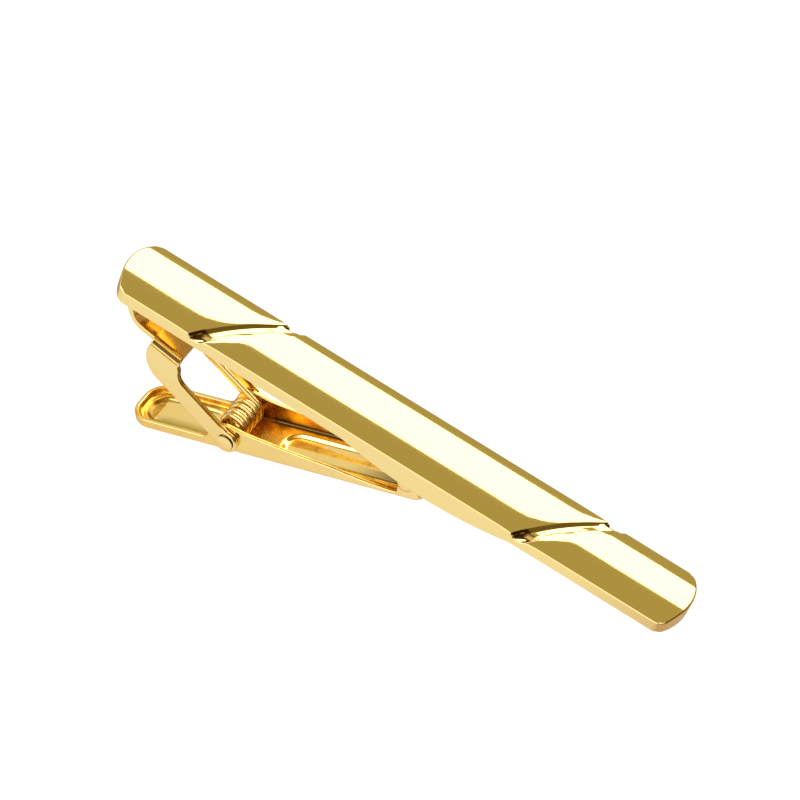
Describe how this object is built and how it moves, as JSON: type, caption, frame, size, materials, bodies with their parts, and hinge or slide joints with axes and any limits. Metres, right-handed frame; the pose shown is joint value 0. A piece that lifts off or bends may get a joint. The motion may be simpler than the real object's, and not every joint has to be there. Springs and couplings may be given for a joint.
{
  "type": "tie clip",
  "caption": "Sprung tie clip: crowned metal bar with diagonal grooves, bent bracket, and a trough-shaped lever on a rivet, closed by a wound spring.",
  "frame": {"origin": "middle of the clip's overall box, with the lever closed on the bar's pad", "axes": "+X along the front bar towards its free end, +Y across it, +Z out of the bar's crowned face"},
  "size_m": [0.058, 0.007, 0.0168],
  "materials": {
    "polished_gold": "mirror polished gold plate",
    "spring_gold": "gold plated spring wire"
  },
  "bodies": {
    "bar_assembly": {"front_bar": "polished_gold", "bracket": "polished_gold", "pivot_rivet": "polished_gold", "torsion_spring": "spring_gold"},
    "lever": {"lever": "polished_gold"}
  },
  "joints": [
    {"name": "lever_hinge", "type": "hinge", "parent": "bar_assembly", "child": "lever", "pos_m": [-0.0141, 0, -0.00273], "axis": [0, 1, 0], "range_deg": [0, 60], "stiffness_Nm_per_rad": 0.012, "springref_deg": -68.75, "deforming": ["torsion_spring"]}
  ]
}
